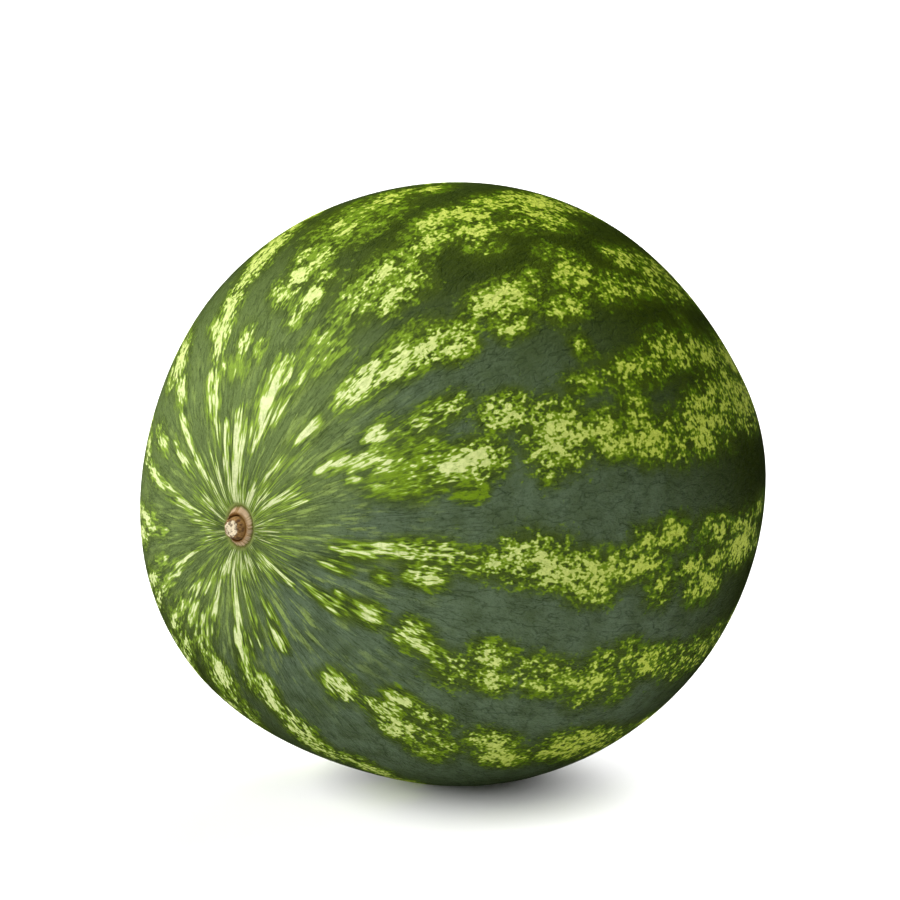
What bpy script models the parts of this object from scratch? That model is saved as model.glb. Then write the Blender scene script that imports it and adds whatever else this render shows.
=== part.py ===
"""A whole striped watermelon lying on its side, with the dried stub of its stalk.

The long axis runs along Y, with the stalk end at -Y and the blossom end at +Y.  The fruit rests
on a small flat spot at z = 0.  Units are metres and +Z is up.

The fruit grew as one piece, so rind, stalk scar, blossom scar and rest spot are one solid.  It is
an outline turned about the long axis and then pushed out of round.  The stub is a woody remnant
that stands in a plain socket in the middle of the corky collar.
"""

import math

import bmesh
import bpy
from mathutils import Vector

# Size of the fruit before its swellings.
HALF_THICKNESS = 0.125
HALF_LENGTH = 0.133
SEGMENTS = 84            # faces round the long axis
RINGS = 42               # rings along the rind, between the two scars

# Broad swellings and hollows of a fruit that grew on the ground:
# latitude towards the blossom end, longitude from +X towards +Z, reach, all in degrees, and height.
SWELLINGS = (
    (40, 11, 15, 0.0017),
    (36, 45, 25, -0.0029),
    (3, 100, 27, -0.0005),
    (-35, 162, 21, -0.0019),
    (-38, -143, 27, 0.0038),
    (-20, -101, 21, -0.0026),
)

# The patch that the fruit's own weight has flattened.
REST_PRESS = 0.0026      # how far the lowest point is pushed in
REST_BLEND = 0.0016      # depth over which the flat turns back into the round

# The shallow basin at the stalk end, and the corky collar in the middle of it.
BASIN_DEPTH = 0.0012
BASIN_REACH = 0.018
SOCKET_RADIUS = 0.0055
SOCKET_DEPTH = 0.0045
COLLAR_RADIUS = 0.0100
COLLAR_RAISE = 0.0009    # crown of the collar above the rind
GROOVE_DEPTH = 0.0006    # furrow between the collar and the rind
COLLAR_SQUEEZE = 0.20    # how much narrower than tall the collar is
COLLAR_LIFT = 0.0019     # how far the collar's middle is above the stub
COLLAR_ONSET = 0.003     # distance from the socket over which both set in
COLLAR_FADE = 0.018      # radius at which both fade out into the rind
RIND_START = 0.0153      # radius where the even rings of the rind begin

# The blossom scar, a small corky button in a dimple.
RIND_END = 0.0105        # radius where the even rings of the rind stop
BLOSSOM_RADIUS = 0.0035
BLOSSOM_RAISE = 0.0005
DIMPLE_DEPTH = 0.0014
DIMPLE_REACH = 0.010

# The stub of the stalk.
JOINT_GAP = 0.0003       # clearance between the stub and its socket
STUB_SIDES = 28
STUB_HEIGHT = 0.0056     # from the collar to the broken end
STUB_END_RADIUS = 0.0037
STUB_RIBS = 5            # shallow ribs of the dried stalk
STUB_RIB_HEIGHT = 0.05   # as a share of the radius
STUB_LEAN = 0.0009       # sideways and downward lean of the broken end
STUB_SLANT = 0.0004      # how far the broken end is out of square

RIND_COLOUR = (0.055, 0.120, 0.035)
RIND_ROUGHNESS = 0.42
STUB_COLOUR = (0.270, 0.130, 0.045)
STUB_ROUGHNESS = 0.75
SHARP_ANGLE = 40         # degrees; edges bent more than this are shaded as corners


def clear_scene():
    """Remove everything that a new file starts with."""
    for thing in list(bpy.data.objects):
        bpy.data.objects.remove(thing, do_unlink=True)


def finish_material(name, colour, roughness):
    """A plain non-metallic finish."""
    material = bpy.data.materials.new(name)
    material.use_nodes = True
    surface = material.node_tree.nodes["Principled BSDF"]
    surface.inputs["Base Color"].default_value = (*colour, 1.0)
    surface.inputs["Roughness"].default_value = roughness
    surface.inputs["Metallic"].default_value = 0.0
    return material


def turned(outline, sides):
    """A closed mesh made by turning (radius, y) points about Y; both ends lie on the axis."""
    mesh = bmesh.new()
    points = [mesh.verts.new((radius, y, 0.0)) for radius, y in outline]
    edges = [mesh.edges.new(pair) for pair in zip(points, points[1:])]
    bmesh.ops.spin(
        mesh,
        geom=points + edges,
        cent=(0.0, 0.0, 0.0),
        axis=(0.0, 1.0, 0.0),
        dvec=(0.0, 0.0, 0.0),
        angle=math.tau,
        steps=sides,
        use_merge=True,
    )
    bmesh.ops.remove_doubles(mesh, verts=mesh.verts, dist=1e-6)
    bmesh.ops.recalc_face_normals(mesh, faces=mesh.faces)
    return mesh


def add_object(name, mesh, material):
    """Turn the finished mesh into a named, smooth-shaded object."""
    data = bpy.data.meshes.new(name)
    mesh.to_mesh(data)
    mesh.free()
    data.shade_smooth()
    data.set_sharp_from_angle(angle=math.radians(SHARP_ANGLE))
    data.materials.append(material)
    thing = bpy.data.objects.new(name, data)
    bpy.context.scene.collection.objects.link(thing)
    return thing


def oval_y(radius):
    """Distance from the middle to the plain oval's end face at this radius from the axis."""
    return HALF_LENGTH * math.sqrt(max(0.0, 1.0 - (radius / HALF_THICKNESS) ** 2))


def stalk_end_y(radius, raised=0.0):
    """Y of the stalk end at a radius, with the basin, and raised above it."""
    basin = BASIN_DEPTH * math.exp(-((radius / BASIN_REACH) ** 2))
    return -oval_y(radius) + basin - raised


def blossom_end_y(radius, raised=0.0):
    """Y of the blossom end at a radius, with its dimple, and raised above it."""
    dimple = DIMPLE_DEPTH * math.exp(-((radius / DIMPLE_REACH) ** 2))
    return oval_y(radius) - dimple + raised


def fruit_outline():
    """Half outline of the fruit, from the bottom of the socket round to the blossom scar."""
    floor = stalk_end_y(0.0, -SOCKET_DEPTH)
    collar_width = COLLAR_RADIUS - SOCKET_RADIUS
    points = [(0.0, floor), (SOCKET_RADIUS, floor)]
    collar = (
        (0.00, 0.3 * COLLAR_RAISE),
        (0.15, 0.9 * COLLAR_RAISE),
        (0.40, COLLAR_RAISE),
        (0.70, 0.7 * COLLAR_RAISE),
        (0.95, -0.5 * GROOVE_DEPTH),
        (1.08, -GROOVE_DEPTH),
        (1.25, -0.4 * GROOVE_DEPTH),
        (1.50, 0.0),
    )
    for share, raised in collar:
        radius = SOCKET_RADIUS + share * collar_width
        points.append((radius, stalk_end_y(radius, raised)))
    first = math.asin(RIND_START / HALF_THICKNESS)
    last = math.pi - math.asin(RIND_END / HALF_THICKNESS)
    for step in range(RINGS + 1):
        angle = first + (last - first) * step / RINGS
        radius = HALF_THICKNESS * math.sin(angle)
        y = stalk_end_y(radius) if angle < math.pi / 2 else blossom_end_y(radius)
        points.append((radius, y))
    button = ((1.8, 0.0), (1.1, 0.0), (0.8, BLOSSOM_RAISE), (0.4, 0.8 * BLOSSOM_RAISE))
    for share, raised in button:
        radius = share * BLOSSOM_RADIUS
        points.append((radius, blossom_end_y(radius, raised)))
    points.append((0.0, blossom_end_y(0.0, 0.4 * BLOSSOM_RAISE)))
    return points


def swelling_height(direction):
    """Sum of the broad swellings and hollows in one direction from the middle."""
    height = 0.0
    for latitude, longitude, reach, rise in SWELLINGS:
        along = math.radians(latitude)
        around = math.radians(longitude)
        centre = Vector((
            math.cos(along) * math.cos(around),
            math.sin(along),
            math.cos(along) * math.sin(around),
        ))
        away = direction.angle(centre) / math.radians(reach)
        height += rise * math.exp(-(away ** 2))
    return height


def set_collar_off_centre(point):
    """Squeeze the collar's rings sideways and lift them, fading out into the rind."""
    radius = math.hypot(point.x, point.z)
    onset = min(1.0, max(0.0, (radius - SOCKET_RADIUS) / COLLAR_ONSET))
    share = onset * math.exp(-((radius / COLLAR_FADE) ** 4))
    point.x *= 1.0 - COLLAR_SQUEEZE * share
    point.z += COLLAR_LIFT * share


def press_rest_spot(points):
    """Raise the lowest patch to one flat level, with a soft turn into the round above it."""
    level = min(point.z for point in points) + REST_PRESS
    for point in points:
        above = max(0.0, point.z - level + REST_BLEND / 2.0)
        if above < REST_BLEND:
            point.z = level + above * above / (2.0 * REST_BLEND)


def swell(points):
    """Push points out from the middle of the fruit by its swellings."""
    for point in points:
        direction = point.normalized()
        point += direction * swelling_height(direction)


def add_fruit():
    """The fruit, from the socket and collar to the blossom scar."""
    mesh = turned(fruit_outline(), SEGMENTS)
    points = [vertex.co for vertex in mesh.verts]
    for point in points:
        if point.y < 0.0:
            set_collar_off_centre(point)
    swell(points)
    press_rest_spot(points)
    return add_object("fruit", mesh, finish_material("rind", RIND_COLOUR, RIND_ROUGHNESS))


def stub_outline(collar_y):
    """Half outline of the stub, from its root in the socket to its broken end."""
    root_radius = SOCKET_RADIUS - JOINT_GAP
    root_y = collar_y + SOCKET_DEPTH - JOINT_GAP
    end_y = collar_y - STUB_HEIGHT
    return [
        (0.0, root_y),
        (root_radius, root_y),
        (root_radius, collar_y),
        (0.96 * root_radius, collar_y - 0.20 * STUB_HEIGHT),
        (0.86 * root_radius, collar_y - 0.50 * STUB_HEIGHT),
        (1.06 * STUB_END_RADIUS, collar_y - 0.82 * STUB_HEIGHT),
        (STUB_END_RADIUS, collar_y - 0.94 * STUB_HEIGHT),
        (0.86 * STUB_END_RADIUS, end_y),
        (0.45 * STUB_END_RADIUS, end_y + 0.05 * STUB_HEIGHT),
        (0.0, end_y + 0.08 * STUB_HEIGHT),
    ]


def shrivel(point, collar_y):
    """Give a point of the stub its ribs and lean, from the collar outwards."""
    out = max(0.0, (collar_y - point.y) / STUB_HEIGHT)
    around = math.atan2(point.z, point.x)
    rib = 1.0 + STUB_RIB_HEIGHT * min(1.0, 3.0 * out) * math.cos(STUB_RIBS * around)
    point.x = point.x * rib - STUB_LEAN * out ** 2
    point.z = point.z * rib - STUB_LEAN * out ** 2
    point.y += STUB_SLANT * out * math.cos(around)


def add_stub():
    """The stub, with a plain round root in the socket."""
    collar_y = stalk_end_y(0.0)
    mesh = turned(stub_outline(collar_y), STUB_SIDES)
    points = [vertex.co for vertex in mesh.verts]
    for point in points:
        shrivel(point, collar_y)
    swell(points)
    return add_object("stem_stub", mesh, finish_material("dried_stalk", STUB_COLOUR, STUB_ROUGHNESS))


def stand_at_origin(things):
    """Move the objects together so that their box is centred on the origin and stands on z = 0."""
    points = [vertex.co for thing in things for vertex in thing.data.vertices]
    lowest = [min(point[axis] for point in points) for axis in range(3)]
    highest = [max(point[axis] for point in points) for axis in range(3)]
    middle_x = (lowest[0] + highest[0]) / 2.0
    middle_y = (lowest[1] + highest[1]) / 2.0
    for thing in things:
        thing.location = (-middle_x, -middle_y, -lowest[2])


clear_scene()
stand_at_origin([add_fruit(), add_stub()])
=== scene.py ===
"""A whole striped watermelon lying on its side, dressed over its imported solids.

The part has two pieces, the rind and the dried stub of the stalk.  A white floor, soft studio
light and a camera stand round them.  Units are metres and +Z is up.  The long axis runs along Y,
with the stalk end at -Y.  Directions on the fruit are given as degrees down from the stalk end
and degrees round the long axis, from +X through +Z.
"""

import math

import bmesh
import bpy
import numpy as np
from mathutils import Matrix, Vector, noise


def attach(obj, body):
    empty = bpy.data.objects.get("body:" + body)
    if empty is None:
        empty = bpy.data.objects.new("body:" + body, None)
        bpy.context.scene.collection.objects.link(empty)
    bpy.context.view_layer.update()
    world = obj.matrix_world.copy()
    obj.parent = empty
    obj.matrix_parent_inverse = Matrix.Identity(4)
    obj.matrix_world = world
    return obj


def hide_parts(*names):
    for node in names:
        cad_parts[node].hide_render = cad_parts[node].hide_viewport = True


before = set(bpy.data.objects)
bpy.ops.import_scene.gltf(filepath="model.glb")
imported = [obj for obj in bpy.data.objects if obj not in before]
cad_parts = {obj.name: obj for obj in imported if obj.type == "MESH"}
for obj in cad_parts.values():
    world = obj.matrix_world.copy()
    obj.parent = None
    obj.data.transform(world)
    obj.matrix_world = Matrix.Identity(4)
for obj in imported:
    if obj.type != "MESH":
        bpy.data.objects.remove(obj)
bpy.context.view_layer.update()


# ---------------------------------------------------------------------------------------------
# Rind.  The skin of the fruit, grown in one piece from the corky collar round the stalk to the
# blossom scar.  It is firm and waxy, dark green, with broken rows of pale flecks running from end
# to end, and each row lies in a haze of brighter green.

HALF_THICKNESS = 0.125
HALF_LENGTH = 0.133
MIDDLE = Vector((0.0, 0.0029, 0.1217))     # middle of the fruit, between its two ends
COLLAR_SQUEEZE = 0.20                      # how much narrower than tall the collar is
COLLAR_LIFT = 0.0019                       # how far the collar's middle is above the stub
SOCKET_RADIUS = 0.0055
SOCKET_LIP = 0.001                         # width round the socket that stays even
COLLAR_ONSET = 0.003                       # distance from the socket over which both set in
COLLAR_FADE = 0.018                        # radius at which both fade out into the rind
WAVE_SIZE = 0.022                          # soft unevenness of a grown skin
WAVE_HEIGHT = 0.00012
WAVE_ONSET = (0.0004, 0.006)               # heights above the ground over which it sets in
PINCH_HEIGHT = 0.00012                     # radial puckers round the collar
PINCH_ONSET = (0.010, 0.014)               # radii over which they set in
PINCH_FADE = (0.016, 0.034)                # and fade out
PINCH_TURN = 9.0                           # how quickly one follows another round the collar
PINCH_RUN = 120.0                          # and how quickly each one changes outwards
STALK_SLIP = (-0.0016, -0.00095)           # how far the stalk sits off the axis, along X and Z
STALK_SCALE = 0.89                         # size of the dried stalk, as a share of the fresh one
STALK_FADE = (0.012, 0.045)                # radii over which both fade out into the rind
COLLAR_SHRINK = 0.10                       # how much more the collar has drawn together
COLLAR_EDGE = 0.009                        # radius by which it has
COLLAR_SLIP = (0.0013, -0.00074)           # how far the dried collar has slipped past the stub

# Pale patches, row by row.  Each is: from and to, down from the stalk end; from and to, round the
# axis; and how solid it is, from a bare haze at 0.35 to unbroken cream at 1.
ROWS = (
    # The row that runs over the top on the left.
    (20.5, 29.5, 114, 120, 1), (16, 20.5, 113, 118, .5),
    (34, 50, 113, 119, .9), (41, 43, 118, 122, .8), (52, 70, 110, 118, .9),
    (5, 15, 119, 126, .5), (4.5, 18.5, 92, 101, 1), (6, 17, 105, 112, .85),
    # The thin broken row beside it.
    (29, 32, 110, 113, .7), (31, 37, 102, 106, .85), (27, 31, 101, 110, .35),
    (30, 34, 94, 98, .5), (41, 46, 92.5, 97, .6), (46, 51, 91.5, 96.5, 1),
    (51, 56, 90, 93, .9), (52, 56, 96, 99, .55), (44, 47, 97, 100, .6),
    (38, 41, 85.5, 88.5, .95), (41.5, 46, 84, 88.5, 1), (47, 50, 84, 88, .5),
    (58, 75, 87, 100, .35), (60, 65, 90.5, 93, .85), (61, 66, 94, 98, .7),
    (71, 80, 91, 97, .9), (80, 86, 87, 91, .9),
    # The bright row that starts as one solid blaze above the stalk.
    (17, 29.5, 78, 88, 1), (20, 25, 72, 75, .7), (25, 30, 70, 74, .55),
    (35, 37, 73, 75.5, .7), (34, 37, 68, 70, .65), (30, 38, 67, 77, .35),
    (42, 46, 71.5, 73, .8), (45, 47, 75, 77, .7), (49, 56, 72, 75.5, .95),
    (42, 59, 68, 77, .35), (47, 52, 64, 68, .85), (52, 57, 63, 69, .6),
    (61, 68, 70, 74.5, .9), (63, 65, 76, 78, .6), (67, 75, 75, 78.5, 1),
    (73, 79.5, 71, 75.5, 1), (69, 76, 66, 71, .85), (68, 73, 62, 66, .5),
    (79, 84, 64, 68, .7), (81, 86, 72, 78, .8), (86, 101, 68, 77, .95), (85, 92, 62, 68, .85),
    # The first row below the top.
    (12, 19, 55, 60, .9), (8, 13, 51, 58, .8), (15, 18, 51, 53.5, .6), (19, 25, 53, 57, .75),
    (20, 24, 49, 51.5, .6), (29.5, 39, 49, 56.5, .85), (40, 45, 52, 55, .85), (38, 50, 47, 52, .95),
    (49, 54, 44, 48, .85), (50, 56, 48, 51, .7), (38, 50, 50, 56, .35), (59, 69, 49, 54, .95),
    (60, 65, 43, 47, .75), (65, 70, 47, 50, .7), (70, 73, 50, 54, .5), (70, 77, 42, 46, .7),
    (77, 84, 46, 55, .8), (78, 81, 54, 58, .6), (82, 92, 43, 48, .7), (92, 98, 50, 54.5, .85),
    (91, 98, 43, 47, .6), (97, 112, 43, 54, .65),
    # The next row forks; this is its upper branch.
    (5, 15, 32, 39, .85), (8, 15, 26, 31, .65), (12, 16, 21, 25, .5), (19.5, 23, 33, 37, .85),
    (22, 26, 31, 35, .9), (25, 30, 27, 32, .9), (29.5, 34, 33.5, 38, .9),
    (37, 47, 31.5, 35.5, .75), (50, 57, 25, 30.5, .8), (66, 72, 27, 30, .5),
    (75, 88, 26, 31, .65), (86, 96, 28, 34, .75), (97, 110, 28, 33, .8),
    (71, 73, 34, 37, .5), (100, 102, 35, 38, .4),
    # And this its lower one.
    (28, 40, 15, 30, .35), (29, 33, 22, 27, .7), (28, 30, 18, 20, .7), (24, 27, 22, 26, .55),
    (41, 50, 15.5, 22.5, 1), (38, 40, 14, 16, .6), (43, 46, 11, 14, .35), (56, 66, 14, 26, .75),
    (57, 59, 11, 14.5, .5), (66, 73, 17, 22, .75), (69, 76, 14, 17.5, .95), (75, 80, 18, 24, .7),
    (76, 83, 12, 17.5, 1), (83, 88, 11, 19, .6), (89.5, 97, 12, 21, .95), (97, 104, 12, 19, .6),
    (100, 125, 15, 26, .8),
    # The row along the middle of the near side.
    (20, 27, -10, -4, .6), (18, 23, -18, -13, .6), (28, 30, -16, -14, .8), (29, 40, -7, -2, .8),
    (33, 39, -14, -9.5, .85), (42, 52, -9, -4, .6), (49, 60, -10, -1, .7),
    (57, 68, -11, -5, .95), (63, 70, -14, -10, .8), (67, 75, -10, -5, .85),
    (73, 80, -9.5, -5.5, .85), (74, 80, -5, -1, .55), (79.5, 86, -4.5, -.5, 1),
    (79, 84, -15, -9, .6), (86, 92, -11, -8, .85), (89.5, 98, -16, -11, .95),
    (94, 98, -11, -7.5, .9), (95, 99, -6, -1.5, .9), (90, 95, -5, -1, .5),
    (100, 113, -11.5, -3.5, .9),
    # The row below the middle.
    (22, 24, -30, -28, .75), (26, 30.5, -34, -28, 1), (18, 26, -38, -33, .6),
    (6, 14, -45, -37, .7),
    (35, 39, -30, -27, .6), (35, 42, -35, -31, .7), (43, 50, -40, -33, .45),
    (49, 55, -31.5, -27, .85), (50, 57, -38, -34, .75), (57, 68, -33, -28, .55),
    (61, 66.5, -36, -34, .9), (66, 70, -34, -31, .7), (70, 77, -37, -26, .65),
    (76, 79, -26, -23, .6), (79, 91, -31, -25.5, .75), (79, 83, -37, -30, .5),
    (92, 110, -34, -26, .55),
    # The lowest row on the near side.
    (41, 46, -54, -51, .95), (46, 53, -55, -51.5, .6), (42, 45, -57, -55, .7),
    (31, 37, -67, -59, .65), (40, 52, -62, -58, .8), (45, 53, -65, -61, .65),
    (53, 60, -60, -57.5, .65), (53, 60, -66, -62, .5), (59, 67, -55, -50, .8),
    (65, 74, -60, -54, .85), (75, 87, -55.5, -46.5, .95), (88, 97, -58, -48, .6),
    # Streaks that run down from the stalk.
    (14.5, 18.5, -73.5, -69.5, .7), (19, 23.5, -77, -72.5, .85),
    (4.5, 11, -112, -98, .72), (4.5, 10.5, -96, -80, .72), (4.5, 10, -76, -63, .7),
    (9, 19, -102, -97, .7), (21, 25, -97, -93, .5), (30, 40, -97, -91, .75),
    (40, 55, -95, -88, .75), (54, 64, -87, -82, .8), (9, 22, -90, -84, .4),
    (20, 35, -103, -98, .6), (6, 13, -120, -113, .65), (13, 25, -120, -115.5, .6),
    (11, 19, -129, -123, .5), (20, 25.5, -126, -121, .65), (26, 34, -128, -118, .5),
    # Streaks round the far side of the stalk.
    (15, 24, -154, -149.5, .6), (22, 32, -152, -147, .6),
    (24, 31, -160, -156, .5), (22, 27, -172, -168, .6), (26, 31, -178, -174, .5),
    (12.5, 20, 169, 173.5, .95), (20, 33, 166, 170.5, .9), (26, 34, 152, 158, .65),
    (5.5, 12, 133, 142, .65), (11.5, 17, 136, 141, .9), (19.5, 27.5, 136.5, 140.5, .8),
    (30, 36, 134, 139, 1), (5, 13, 145, 165, .5), (5, 13, 172, 184, .45), (16, 24, 146, 151, .5),
    (4.5, 9, 85, 105, .9), (4.5, 9.5, 55, 80, .85), (4.5, 9.5, -6, 24, .5),
)

# Rows on the far side and at the blossom end: place round the axis, and where the row starts.
FAR_ROWS = (
    (117, 72), (96, 88), (73, 104), (49, 114), (31, 112), (18, 127), (-7, 115), (-30, 112),
    (-53, 99), (-90, 66), (-114, 31), (-135, 12), (-153, 33), (-172, 29), (165, 36), (141, 39),
)
FAR_END = 168                              # where every row stops, at the blossom end
ROW_SEED = 7

PATCH_ROUNDNESS = 2.5
PATCH_FALL = 0.33                          # how fast a patch thins out towards its edge
PATCH_LEAST = 1e-5                         # least half width, so that none closes at the ends
PALE_BASE = 0.12                           # paleness in the middle of a bare patch
PALE_GAIN = 1.33                           # and how much paler a solid one is
ALL_HAZE = 0.4                             # a patch less solid than this is haze alone
HAZE_BASE = 0.6                            # strength of the haze round a bare patch
HAZE_GAIN = 0.4                            # and how much stronger it is round a solid one
HAZE_SPREAD = 0.0030                       # how far the green haze reaches past its patch
HAZE_AT_STALK = 0.3                        # share of that reach which is left at the stalk
HAZE_WIDENS = (10.0, 45.0)                 # degrees down over which it grows to the whole
STALK_PALENESS = 0.41                      # the least paleness right round the stalk
STALK_PALE_FADE = (8.0, 22.0)              # degrees down over which that fades out


def fine_copy(name, node, levels):
    """A rounded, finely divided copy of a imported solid, whose triangles are first paired up."""
    mesh = bmesh.new()
    mesh.from_mesh(node.data)
    bmesh.ops.remove_doubles(mesh, verts=mesh.verts, dist=1e-5)
    bmesh.ops.join_triangles(
        mesh,
        faces=mesh.faces,
        angle_face_threshold=math.radians(60),
        angle_shape_threshold=math.radians(60),
    )
    data = bpy.data.meshes.new(name)
    mesh.to_mesh(data)
    mesh.free()
    piece = bpy.data.objects.new(name, data)
    bpy.context.scene.collection.objects.link(piece)
    rounding = piece.modifiers.new("rounding", "SUBSURF")
    rounding.levels = levels
    rounding.render_levels = levels
    seen = piece.evaluated_get(bpy.context.evaluated_depsgraph_get())
    piece.data = bpy.data.meshes.new_from_object(seen)
    piece.data.name = name
    piece.modifiers.clear()
    piece.data.materials.clear()
    piece.data.shade_smooth()
    return piece


def read_points(piece):
    """Every vertex of a piece, one row each."""
    flat = np.empty(3 * len(piece.data.vertices))
    piece.data.vertices.foreach_get("co", flat)
    return flat.reshape(-1, 3)


def write_points(piece, points):
    """Put the vertices of a piece at new places."""
    piece.data.vertices.foreach_set("co", points.ravel())
    piece.data.update()


def store(piece, name, values):
    """Keep one number or one vector for each vertex, for the material to read."""
    kind, field = ("FLOAT", "value") if values.ndim == 1 else ("FLOAT_VECTOR", "vector")
    attribute = piece.data.attributes.new(name, kind, "POINT")
    attribute.data.foreach_set(field, values.ravel())


def eased(low, high, value):
    """A smooth step from 0 at low to 1 at high."""
    share = np.clip((value - low) / (high - low), 0.0, 1.0)
    return share * share * (3.0 - 2.0 * share)


def wavy(points, size, seed):
    """Smooth noise of about this size at every point, from -1 to 1."""
    shift = Vector((seed * 3.7, seed * 1.9, seed * 5.3))
    return np.array([noise.noise(Vector(point) / size + shift) for point in points])


def collar_polar(points):
    """Radius and angle round the stalk, measured as if the collar were round and centred."""
    x = points[:, 0] - MIDDLE.x
    z = points[:, 2] - MIDDLE.z
    radius = np.hypot(x, z)
    for _ in range(8):                     # each round brings the radius closer to the true one
        onset = np.clip((radius - SOCKET_RADIUS) / COLLAR_ONSET, 0.0, 1.0)
        share = onset * np.exp(-((radius / COLLAR_FADE) ** 4))
        flat_x = x / (1.0 - COLLAR_SQUEEZE * share)
        flat_z = z - COLLAR_LIFT * share
        radius = np.hypot(flat_x, flat_z)
    return radius, np.arctan2(flat_z, flat_x)


def slip_stalk_end(points, ring, at_stalk):
    """Draw the collar together and slide it to where the dried stalk sits, fading out round it."""
    near = np.where(at_stalk, 1.0 - eased(*STALK_FADE, ring), 0.0)
    shrink = 1.0 - STALK_SCALE + COLLAR_SHRINK * eased(SOCKET_RADIUS, COLLAR_EDGE, ring)
    scale = 1.0 - shrink * near
    collar = eased(SOCKET_RADIUS, SOCKET_RADIUS + COLLAR_ONSET, ring)
    collar = np.where(at_stalk, collar * np.exp(-((ring / COLLAR_FADE) ** 4)), 0.0)
    for axis, slip, collar_slip in zip((0, 2), STALK_SLIP, COLLAR_SLIP):
        spread = (points[:, axis] - MIDDLE[axis]) * scale
        points[:, axis] = MIDDLE[axis] + spread + slip * near + collar_slip * collar


def far_patches():
    """Patches for the rows that continue out of sight, drawn by one fixed seed."""
    draw = np.random.default_rng(ROW_SEED)
    patches = []
    for around, start in FAR_ROWS:
        down = start
        while down < FAR_END:
            length = draw.uniform(5, 12)
            for side in (-1, 1):
                shift = side * draw.uniform(0.5, 4.5)
                width = draw.uniform(1.5, 3.5)
                top = down + draw.uniform(-2, 2)
                patches.append((
                    top,
                    top + length * draw.uniform(0.6, 1.0),
                    around + shift - width,
                    around + shift + width,
                    draw.uniform(0.4, 1.0),
                ))
            down += length
    return patches


def patch_fields(down, around, reach):
    """How solid the pale flecks are, and how strong the haze is, at every point."""
    pale = np.zeros_like(down)
    haze = np.zeros_like(down)
    haze_spread = HAZE_SPREAD * (
        HAZE_AT_STALK + (1.0 - HAZE_AT_STALK) * eased(*HAZE_WIDENS, down)
    )
    for first, last, low, high, solid in ROWS + tuple(far_patches()):
        along = HALF_THICKNESS * np.radians(np.abs(down - (first + last) / 2))
        turn = (around - (low + high) / 2 + 180.0) % 360.0 - 180.0
        across = reach * np.radians(np.abs(turn))
        half_along = HALF_THICKNESS * math.radians((last - first) / 2)
        half_across = np.maximum(reach * math.radians((high - low) / 2), PATCH_LEAST)
        haze_level = 1.0 if solid < ALL_HAZE else HAZE_BASE + HAZE_GAIN * solid
        for field, level, spread in (
            (pale, PALE_BASE + PALE_GAIN * solid, 0.0),
            (haze, haze_level, haze_spread),
        ):
            out = (
                (along / (half_along + spread)) ** PATCH_ROUNDNESS
                + (across / (half_across + spread)) ** PATCH_ROUNDNESS
            ) ** (2.0 / PATCH_ROUNDNESS)
            np.maximum(field, level * (1.0 - PATCH_FALL * out), out=field)
    return pale, haze


rind = fine_copy("rind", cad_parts["fruit"], 2)
points = read_points(rind)
outwards = points - np.array(MIDDLE)
reach = np.hypot(outwards[:, 0], outwards[:, 2])
down = np.degrees(np.arctan2(reach / HALF_THICKNESS, -outwards[:, 1] / HALF_LENGTH))
around = np.degrees(np.arctan2(outwards[:, 2], outwards[:, 0]))
ring, ring_angle = collar_polar(points)
at_stalk = outwards[:, 1] < 0.0
ring = np.where(at_stalk, ring, 1.0)

# The skin is a little uneven, and puckers in towards the collar.
lift = WAVE_HEIGHT * wavy(points, WAVE_SIZE, 1)
puckers = np.stack(
    [PINCH_TURN * np.cos(ring_angle), PINCH_TURN * np.sin(ring_angle), ring * PINCH_RUN], axis=1
)
pinched = eased(*PINCH_ONSET, ring) * (1.0 - eased(*PINCH_FADE, ring))
lift += PINCH_HEIGHT * pinched * wavy(puckers, 1.0, 2)
lift *= eased(*WAVE_ONSET, points[:, 2])
lift *= eased(SOCKET_RADIUS, SOCKET_RADIUS + SOCKET_LIP, ring)
directions = outwards / np.linalg.norm(outwards, axis=1)[:, None]
points += directions * lift[:, None]
slip_stalk_end(points, ring, at_stalk)
write_points(rind, points)

# What the material reads.  The ring is in millimetres.
pale, haze = patch_fields(down, around, reach)
pale = np.maximum(pale, STALK_PALENESS * (1.0 - eased(*STALK_PALE_FADE, down)))
store(rind, "pale", pale)
store(rind, "haze", haze)
store(rind, "down", np.radians(down))
store(rind, "ring", ring * 1000.0)

# The wax bloom is thickest on the flank facing the front softbox, where its greyish colour is also
# a painted sheen of that light; elsewhere it lies in thinner clouds.
BLOOM_AND_SHEEN_MIDDLE = (46.0, -24.0)               # down from the stalk end, and round the axis
BLOOM_AND_SHEEN_EDGE = (71.0, 32.0)                  # degrees from there where it starts and where it is full
CLOUD_SIZE = 0.07                          # thinner clouds of bloom on the rest of the fruit
CLOUD_SHARE = (-0.4, 0.6)                  # noise at which a cloud starts and is full
CLOUD_ONSET = (80.0, 130.0)                # degrees from the bloom's middle where they set in
CLOUD_STRENGTH = 0.5
# The paler skin round the stalk is its own colour; its longer reach on the upper-left side, where
# the left softbox falls, is painted light.
SALLOW_REACH = 52.0                        # how many degrees down the paler skin reaches
LIT_SIDE_SWING = 33.0                        # how much farther it reaches on its longest side
LIT_SIDE = 135.0                        # where that side is, round the axis
SALLOW_SHARE = (1.0, 0.25)                 # shares of the reach where it starts and is full
STREAK_CORE = 0.030                        # cylinder of the fine streaks round the stalk
STREAK_PACE = ((0, 180), (0, 22))
STRAND_CORE = 0.115                        # cylinder of the strands along the rest
STRAND_PACE = ((0, 45, 85, 180), (0, 25, 60, 155))


def meridian_place(down, around, core, pace):
    """A place on a cylinder with this core, where patterns stretch from end to end.

    The pace is a table of how far along the cylinder each angle down the fruit lies, in degrees.
    """
    turn = np.radians(around)
    along = HALF_THICKNESS * np.radians(np.interp(down, *pace))
    return np.stack([core * np.cos(turn), core * np.sin(turn), along], axis=1)


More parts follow.
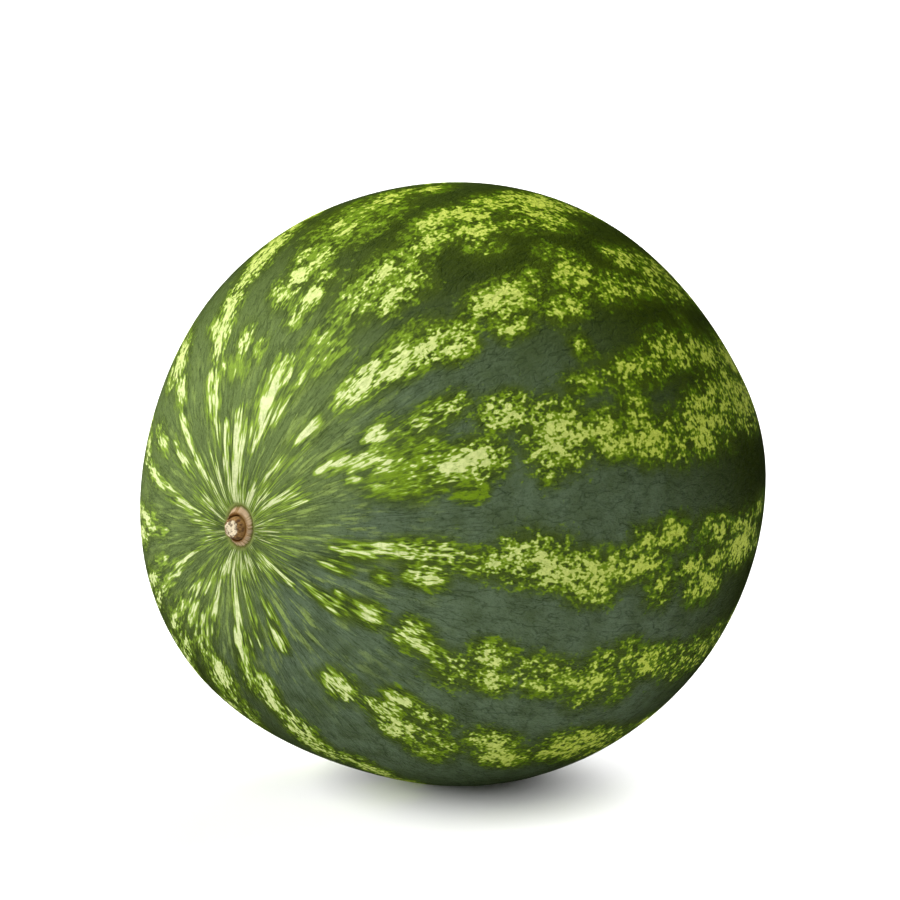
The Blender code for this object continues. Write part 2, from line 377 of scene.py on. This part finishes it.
def wax_bloom_and_sheen(points, down, around):
    """How thick the wax bloom is: thickest on one flank, where it is also a painted sheen, and in
    soft clouds elsewhere.
    """
    low, turn = np.radians(down), np.radians(around)
    middle_low, middle_turn = map(math.radians, BLOOM_AND_SHEEN_MIDDLE)
    facing = (
        np.cos(low) * math.cos(middle_low)
        + np.sin(low) * math.sin(middle_low) * np.cos(turn - middle_turn)
    )
    away = np.degrees(np.arccos(np.clip(facing, -1.0, 1.0)))
    clouds = eased(*CLOUD_SHARE, wavy(points, CLOUD_SIZE, 5)) * eased(*CLOUD_ONSET, away)
    return np.maximum(eased(*BLOOM_AND_SHEEN_EDGE, away), CLOUD_STRENGTH * clouds)


# Bloom thickness, which on its thickest flank also stands for a painted sheen.
store(rind, "bloom_and_sheen", wax_bloom_and_sheen(points, down, around))
# Paler skin towards the stalk, reaching farther on the lit upper-left side as painted light.
sallow_and_lit_reach = SALLOW_REACH + LIT_SIDE_SWING * np.cos(np.radians(around - LIT_SIDE))
store(rind, "sallow_and_lit", eased(*SALLOW_SHARE, down / sallow_and_lit_reach))
store(rind, "streak", meridian_place(down, around, STREAK_CORE, STREAK_PACE))
store(rind, "strand", meridian_place(down, around, STRAND_CORE, STRAND_PACE))


class Signal:
    """A number, colour or vector on its way through a material's nodes."""

    def __init__(self, tree, socket=None):
        self.tree = tree
        self.socket = socket

    def node(self, kind, settings, sockets, output=0):
        """Add one node, make its settings, feed its sockets and hand back one output."""
        made = self.tree.nodes.new(kind)
        for key, value in settings.items():
            setattr(made, key, value)
        for key, value in sockets.items():
            if isinstance(value, Signal):
                self.tree.links.new(value.socket, made.inputs[key])
            else:
                made.inputs[key].default_value = value
        return Signal(self.tree, made.outputs[output])

    def maths(self, operation, *values):
        """One Math node on this value and others."""
        return self.node("ShaderNodeMath", {"operation": operation}, dict(enumerate(values)))

    def __add__(self, other):
        return self.maths("ADD", self, other)

    __radd__ = __add__

    def __sub__(self, other):
        return self.maths("SUBTRACT", self, other)

    def __rsub__(self, other):
        return self.maths("SUBTRACT", other, self)

    def __mul__(self, other):
        return self.maths("MULTIPLY", self, other)

    __rmul__ = __mul__

    def step(self, low, high, start=0.0, end=1.0):
        """A smooth step of this value, from start at low to end at high."""
        return self.node(
            "ShaderNodeMapRange",
            {"interpolation_type": "SMOOTHSTEP"},
            {"Value": self, "From Min": low, "From Max": high, "To Min": start, "To Max": end},
        )

    def blend(self, other, share):
        """This value turning into another one as the share goes from 0 to 1."""
        return self.node("ShaderNodeMix", {"data_type": "FLOAT"}, {0: share, 2: self, 3: other})

    def tint(self, under, over, share):
        """One colour laid over another by a share."""
        return self.node(
            "ShaderNodeMix", {"data_type": "RGBA"}, {0: share, 6: under, 7: over}, 2
        )

    def clouds(self, size, detail=2.0, roughness=0.5):
        """Soft noise of about this size at this place."""
        return self.node(
            "ShaderNodeTexNoise",
            {},
            {"Vector": self, "Scale": 1.0 / size, "Detail": detail, "Roughness": roughness},
        )

    def clouds_colour(self, size):
        """Soft coloured noise, as a wandering direction."""
        return self.node(
            "ShaderNodeTexNoise", {}, {"Vector": self, "Scale": 1.0 / size, "Detail": 2.0}, "Color"
        )

    def cells(self, size):
        """Distance from the nearest of many scattered points, this far apart."""
        return self.node("ShaderNodeTexVoronoi", {}, {"Vector": self, "Scale": 1.0 / size})

    def stretched(self, along_x, along_y, along_z):
        """This place, with a pattern's scale changed along each axis."""
        return self.node(
            "ShaderNodeVectorMath",
            {"operation": "MULTIPLY"},
            {0: self, 1: (along_x, along_y, along_z)},
        )

    def relief(self, strength):
        """A normal that follows this height."""
        return self.node(
            "ShaderNodeBump", {}, {"Height": self, "Strength": strength, "Distance": 0.0006}
        )


def colour(red, green, blue):
    """A colour for a socket, from its three linear parts."""
    return (red, green, blue, 1.0)


def new_material(name):
    """An empty surface material: its tree as a Signal, and its shader node."""
    material = bpy.data.materials.new(name)
    material.use_nodes = True
    shader = material.node_tree.nodes["Principled BSDF"]
    return material, Signal(material.node_tree), shader


def feed(shader, **sockets):
    """Link signals to a shader's sockets, with underscores for the spaces in their names."""
    for key, value in sockets.items():
        shader.id_data.links.new(value.socket, shader.inputs[key.replace("_", " ")])


DEEP_GREEN = colour(0.034, 0.055, 0.002)
# Greyish bloom, which on its thickest flank is also a painted sheen.
BLOOM_AND_SHEEN_GREEN = colour(0.112, 0.161, 0.088)
# Paler green at the stalk end, which on the lit upper-left side is painted light.
STALK_AND_LIT_GREEN = colour(0.138, 0.198, 0.056)
LEAF_GREEN = colour(0.29, 0.40, 0.09)
ROW_GREEN = colour(0.058, 0.092, 0.003)
HAZE_GREEN = colour(0.168, 0.285, 0.006)
OLD_HAZE_GREEN = colour(0.078, 0.170, 0.002)
VEIN_GREEN = colour(0.012, 0.026, 0.004)
FLECK_RIM = colour(0.30, 0.45, 0.05)
OLD_FLECK_RIM = colour(0.20, 0.32, 0.010)
CREAM = colour(0.80, 0.86, 0.46)
OLIVE_CREAM = colour(0.60, 0.70, 0.09)
RUST = colour(0.36, 0.18, 0.045)
BUFF = colour(0.78, 0.57, 0.34)
BUFF_SPOKE = colour(0.50, 0.30, 0.12)
# Olive furrow, darkened with painted shade in the groove.
SHADED_FURROW_OLIVE = colour(0.19, 0.20, 0.040)
RIM_OLIVE = colour(0.30, 0.37, 0.09)
SCAR_BROWN = colour(0.26, 0.17, 0.075)

STREAKED = (0.38, 0.66)                    # radians down over which streaks turn into flecks
STALK_LEAF = (0.10, 0.85)                  # radians down over which the leafy streaks fade out
OLD_SKIN = (0.20, 1.50)                    # radians down over which the flecks turn olive
OLD_HAZE = (0.9, 1.8)                      # and over which the haze turns deeper
HAZY = (0.50, 1.10)                        # strength at which the haze starts and is full
VIVID = (0.40, 0.90)                       # paleness at which the skin turns bright green,
RIMMED = (0.56, 0.98)                      # then yellow-green,
CREAMY = (0.92, 1.22)                      # then cream
RUST_ENDS = (5.9, 8.2)                     # millimetres from the middle of the stalk over which
BUFF_ENDS = (9.0, 10.3)                    # each band of the collar turns into the next
FURROW_ENDS = (10.3, 11.2)
RIM_ENDS = (11.2, 12.8)
CORK_ENDS = (9.5, 11.0)                    # and over which its rough cork ends
BLOSSOM_SCAR = (math.pi - 0.040, math.pi - 0.016)   # radians down of the blossom scar's edge

material, surface, shader = new_material("waxy_rind")
place = surface.node("ShaderNodeTexCoord", {}, {}, "Object")


def stored(name, output="Fac"):
    """A value kept on the mesh, for the material in hand."""
    return surface.node("ShaderNodeAttribute", {"attribute_name": name}, {}, output)


pale, haze, down, ring = map(stored, ("pale", "haze", "down", "ring"))
bloom_and_sheen, sallow_and_lit = map(stored, ("bloom_and_sheen", "sallow_and_lit"))
streak, strand = stored("streak", "Vector"), stored("strand", "Vector")
streaked = down.step(*STREAKED, 1.0, 0.0)
old = down.step(*OLD_SKIN)


def speckle(spot, fleck_size, clump_size):
    """Raggedness of the pale flecks: clumps of small rounded cells."""
    clump = spot.clouds(clump_size, 1.0, 0.5) - 0.5
    fine = spot.clouds(fleck_size, 0.5, 0.5) - 0.5
    speck = spot.clouds(0.5 * fleck_size, 0.0) - 0.5
    return clump * 1.8 + fine * 2.5 + speck * 1.2


# How pale the skin is: the patches broken up into flecks, or into streaks near the stalk.
ragged = speckle(strand, 0.0021, 0.0058).blend(speckle(streak, 0.0011, 0.0036), streaked)
dots = strand.cells(0.0028).step(0.10, 0.30, 1.0, 0.0) * (1.0 - streaked)
dots = dots * haze.step(0.30, 0.80)
paleness = pale + ragged * pale.step(0.05, 0.45) - old * 0.14 + dots * 0.45
mottle = strand.clouds(0.0030, 4.0, 0.65).blend(streak.clouds(0.0012, 4.0, 0.6), streaked) - 0.5

# The ground colour: deep green under a greyish bloom, which on one flank is also a painted sheen,
# and paler towards the stalk, reaching farther on the lit upper-left side as painted light.
cloudy = place.clouds(0.012, 3.0, 0.6).step(0.2, 0.7, 0.45, 1.0)
base = surface.tint(DEEP_GREEN, BLOOM_AND_SHEEN_GREEN, bloom_and_sheen * cloudy)
base = surface.tint(base, STALK_AND_LIT_GREEN, (sallow_and_lit + mottle * 0.35).step(0.0, 1.0))
leafy = (streak.clouds(0.0016, 3.0, 0.6) + mottle * 0.3).step(0.50, 0.66)
base = surface.tint(base, LEAF_GREEN, leafy * down.step(*STALK_LEAF, 1.0, 0.0))
in_row = (haze + mottle * 0.6).step(0.15, 0.75)
base = surface.tint(base, ROW_GREEN, in_row * (1.0 - sallow_and_lit * 0.7 - bloom_and_sheen * 0.1))

# Fine dark creases that wander over the skin, and a fine grain.
grown = strand.stretched(1.0, 1.0, 0.6)
warped = surface.node(
    "ShaderNodeVectorMath",
    {"operation": "MULTIPLY_ADD"},
    {0: grown.clouds_colour(0.0030), 1: (0.003, 0.003, 0.003), 2: grown},
)


def crease(size, width):
    """Thin wandering lines, 1 on the line and 0 beside it."""
    ridge = warped.clouds(size, 2.0, 0.55) - 0.5
    return ridge.maths("ABSOLUTE", ridge).step(0.0, width, 1.0, 0.0)


wide_crease = crease(0.0065, 0.030)
fine_crease = crease(0.0032, 0.045)
patchy = place.clouds(0.010, 2.0).step(0.35, 0.58)
creased = wide_crease * 0.5 + fine_crease * patchy * 0.4
base = surface.tint(base, VEIN_GREEN, creased * 0.70)
grain = place.clouds(0.0010, 3.0, 0.7)
base = surface.tint(base, VEIN_GREEN, grain.step(0.48, 0.72) * 0.35)

# The bright haze between the flecks.
vivid = surface.tint(HAZE_GREEN, OLD_HAZE_GREEN, down.step(*OLD_HAZE))
# Paler haze towards the stalk, and on the lit upper-left side as painted light.
vivid = surface.tint(vivid, LEAF_GREEN, sallow_and_lit * 0.4)
glow = haze + (strand.clouds(0.0045, 4.0, 0.65) - 0.5) * 1.6 + mottle * 0.8 + ragged * 0.4
base = surface.tint(base, vivid, glow.step(*HAZY))
base = surface.tint(base, vivid, paleness.step(*VIVID))

# The pale flecks, yellow-green at their rims.
fleck = surface.tint(CREAM, OLIVE_CREAM, old)
fleck_rim = surface.tint(FLECK_RIM, OLD_FLECK_RIM, old)
dusty = place.clouds(0.0022, 4.0, 0.7).step(0.36, 0.60, 0.65, 1.0)
skin = surface.tint(base, fleck_rim, paleness.step(*RIMMED))
skin = surface.tint(skin, fleck, paleness.step(*CREAMY) * dusty)

# The corky collar, from the stub outwards: rusty, buff with fine spokes, an olive furrow darkened
# with painted shade, and a paler rim that turns into the rind.  The scar at the blossom end is
# brown.
spokes = streak.clouds(0.0030, 2.0, 0.6)
band = ring + (spokes - 0.5) * 1.6
paint = surface.tint(RIM_OLIVE, skin, band.step(*RIM_ENDS))
paint = surface.tint(SHADED_FURROW_OLIVE, paint, band.step(*FURROW_ENDS))
spoked = surface.tint(BUFF, BUFF_SPOKE, spokes.step(0.46, 0.62))
paint = surface.tint(spoked, paint, band.step(*BUFF_ENDS))
paint = surface.tint(RUST, paint, band.step(*RUST_ENDS))
paint = surface.tint(paint, SCAR_BROWN, down.step(*BLOSSOM_SCAR))

corky = ring.step(*CORK_ENDS, 1.0, 0.0)
leather = grown.clouds(0.0022, 3.0, 0.6)
height = leather * 1.6 + grain * 0.7 - creased * 0.6 + spokes * corky * 2.0
feed(
    shader,
    Base_Color=paint,
    Roughness=place.clouds(0.004).step(0.3, 0.7, 0.46, 0.58).blend(0.8, corky),
    Normal=height.relief(1.0),
)
shader.inputs["IOR"].default_value = 1.45
shader.inputs["Specular IOR Level"].default_value = 0.12
rind.data.materials.append(material)
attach(rind, "root")
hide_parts("fruit")


# ---------------------------------------------------------------------------------------------
# Stub.  What is left of the stalk where it broke off: a short, dry, woody peg with shallow ribs
# and a pale, torn end.  It stands in the middle of the collar, where it grew.

STUB_FOOT = -0.1289                        # Y of the collar's level, where the stub leaves it
STUB_HEIGHT = 0.0056
STUB_END_RADIUS = 0.0037
STUB_LEAN = 0.0009                         # sideways and downward lean of the broken end
STUB_UPRIGHT = 0.8                         # how much of that lean it has lost in drying
STUB_FLARE = 0.06                          # how much less the broken end has drawn together
STUB_SHRINK = 0.39                         # how much of its height it has lost
FOOT_BROWN = colour(0.40, 0.22, 0.05)
BARK_FURROW = colour(0.085, 0.036, 0.007)
BARK_RIDGE = colour(0.33, 0.18, 0.045)
PITH_HOLLOW = colour(0.16, 0.11, 0.055)
PITH_PALE = colour(0.74, 0.63, 0.42)

stub = fine_copy("stub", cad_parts["stem_stub"], 3)
points = read_points(stub)
out = np.maximum(0.0, (STUB_FOOT - points[:, 1]) / STUB_HEIGHT)
side = np.hypot(
    points[:, 0] - MIDDLE.x + STUB_LEAN * out ** 2,
    points[:, 2] - MIDDLE.z + STUB_LEAN * out ** 2,
)
store(stub, "side", side / STUB_END_RADIUS)
store(stub, "out", out)
for axis, slip in zip((0, 2), STALK_SLIP):
    upright = points[:, axis] - MIDDLE[axis] + STUB_UPRIGHT * STUB_LEAN * out ** 2
    scale = STALK_SCALE + STUB_FLARE * np.minimum(out, 1.0)
    points[:, axis] = MIDDLE[axis] + upright * scale + slip
points[:, 1] += STUB_SHRINK * STUB_HEIGHT * out
write_points(stub, points)

material, surface, shader = new_material("dry_stalk")
place = surface.node("ShaderNodeTexCoord", {}, {}, "Object")
side = stored("side")
out = stored("out")
fibre = place.stretched(1.0, 0.25, 1.0).clouds(0.0011, 3.0, 0.6)
bark = surface.tint(BARK_FURROW, BARK_RIDGE, fibre.step(0.38, 0.62))
bark = surface.tint(FOOT_BROWN, bark, out.step(0.0, 0.45))
pith = place.clouds(0.0015, 4.0, 0.75)
end = surface.tint(PITH_HOLLOW, PITH_PALE, pith.step(0.40, 0.54))
torn = place.clouds(0.0024, 2.0, 0.6) - 0.5
broken = (side + torn * 1.2).step(0.78, 0.92, 1.0, 0.0) * out.step(0.78, 0.86)
feed(
    shader,
    Base_Color=surface.tint(bark, end, broken),
    Normal=(fibre + pith * broken).relief(0.8),
)
shader.inputs["Roughness"].default_value = 0.75
stub.data.materials.append(material)
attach(stub, "root")
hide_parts("stem_stub")


# ---------------------------------------------------------------------------------------------
# Floor.  A seamless white studio floor, far wider than the view, so that it fills the background.

FLOOR_HALF = 40.0
FLOOR_WHITE = colour(0.9, 0.9, 0.9)
FLOOR_BOUNCE = colour(0.51, 0.51, 0.51)    # how bright it is to the fruit, which it lights softly

mesh = bmesh.new()
bmesh.ops.create_grid(mesh, x_segments=8, y_segments=8, size=FLOOR_HALF)
data = bpy.data.meshes.new("floor")
mesh.to_mesh(data)
mesh.free()
floor = bpy.data.objects.new("floor", data)
bpy.context.scene.collection.objects.link(floor)
material, surface, shader = new_material("white_floor")
seen = surface.node("ShaderNodeLightPath", {}, {}, "Is Camera Ray")
feed(shader, Base_Color=surface.tint(FLOOR_BOUNCE, FLOOR_WHITE, seen))
shader.inputs["Roughness"].default_value = 0.9
floor.data.materials.append(material)
floor.visible_glossy = False               # the fruit mirrors no bright horizon


# ---------------------------------------------------------------------------------------------
# Camera.  A long lens, a little above level, looking at the stalk end from one side.

CAMERA_TURN = math.radians(39.0)
CAMERA_TILT = math.radians(9.0)
CAMERA_DISTANCE = 1.70
CAMERA_LENS = 164.9                        # millimetres, on a sensor 36 millimetres wide
CAMERA_SHIFT = (-0.0045, 0.0349)
AIM = Vector((0.0, 0.0029, 0.1229))

to_camera = Vector((
    math.sin(CAMERA_TURN) * math.cos(CAMERA_TILT),
    -math.cos(CAMERA_TURN) * math.cos(CAMERA_TILT),
    math.sin(CAMERA_TILT),
))
to_right = Vector((math.cos(CAMERA_TURN), math.sin(CAMERA_TURN), 0.0))
to_top = to_camera.cross(to_right)
camera_data = bpy.data.cameras.new("camera")
camera_data.sensor_width = 36.0
camera_data.lens = CAMERA_LENS
camera_data.shift_x, camera_data.shift_y = CAMERA_SHIFT
camera_data.clip_end = 200.0
camera = bpy.data.objects.new("camera", camera_data)
camera.location = AIM + to_camera * CAMERA_DISTANCE
camera.rotation_euler = to_camera.to_track_quat("Z", "Y").to_euler()
bpy.context.scene.collection.objects.link(camera)
bpy.context.scene.camera = camera


# ---------------------------------------------------------------------------------------------
# Studio light.  A broad softbox in front on the left, one high behind, one above and a low fill on
# the left, and lamps that light only the floor, so that it stays white with a small shadow.

SUN_ANGLE = math.radians(60.0)
AMBIENT = 0.06

fruit_lit = bpy.data.collections.new("fruit_lit")
fruit_lit.objects.link(rind)
fruit_lit.objects.link(stub)
floor_lit = bpy.data.collections.new("floor_lit")
floor_lit.objects.link(floor)


def softbox(name, right, top, near, distance, size, power):
    """A square soft light seen from the fruit in this direction, facing and lighting it alone."""
    direction = (to_right * right + to_top * top + to_camera * near).normalized()
    light = bpy.data.lights.new(name, "AREA")
    light.shape = "SQUARE"
    light.size = size
    light.energy = power
    lamp = bpy.data.objects.new(name, light)
    lamp.location = AIM + direction * distance
    lamp.rotation_euler = direction.to_track_quat("Z", "Y").to_euler()
    bpy.context.scene.collection.objects.link(lamp)
    lamp.light_linking.receiver_collection = fruit_lit
    return lamp


left_box = softbox("left_box", -0.45, 0.88, -0.05, 1.5, 1.4, 15.5)
left_box.visible_glossy = False            # no pale sheen along the upper edge
softbox("front_box", -0.60, 0.52, 0.60, 2.0, 2.0, 31.0)
low_box = softbox("low_box", -0.80, -0.52, 0.25, 2.0, 1.0, 11.0)
low_box.light_linking.blocker_collection = fruit_lit   # the floor doesn't stand in its way
softbox("top_box", -0.10, 0.93, 0.35, 1.5, 1.0, 6.5)


def sun(name, right, back, strength):
    """A very wide sun for the floor alone, this far to the right and back for 1 up."""
    direction = Vector((to_right.x, to_right.y, 0.0)) * right
    direction -= Vector((to_camera.x, to_camera.y, 0.0)).normalized() * back
    direction.z = 1.0
    light = bpy.data.lights.new(name, "SUN")
    light.energy = strength
    light.angle = SUN_ANGLE
    lamp = bpy.data.objects.new(name, light)
    lamp.rotation_euler = direction.normalized().to_track_quat("Z", "Y").to_euler()
    bpy.context.scene.collection.objects.link(lamp)
    lamp.light_linking.receiver_collection = floor_lit


sun("floor_left", -3.2, 0.0, 9.1)
sun("floor_right", 2.3, 2.3, 6.1)
sun("floor_back", 0.6, 0.9, 3.4)
sun("floor_front", 0.0, -1.7, 0.9)

# The surroundings: white to the camera, faint to the fruit, and dark in its gloss.
world = bpy.data.worlds.new("studio")
world.use_nodes = True
bpy.context.scene.world = world
sky = Signal(world.node_tree)
backdrop = world.node_tree.nodes["Background"]
seen = sky.node("ShaderNodeLightPath", {}, {}, "Is Camera Ray")
mirrored = sky.node("ShaderNodeLightPath", {}, {}, "Is Glossy Ray")
strength = seen.step(0.0, 1.0, AMBIENT, 1.0) - mirrored * AMBIENT
world.node_tree.links.new(strength.socket, backdrop.inputs["Strength"])
backdrop.inputs["Color"].default_value = colour(1.0, 1.0, 1.0)
bpy.context.scene.view_settings.view_transform = "Standard"
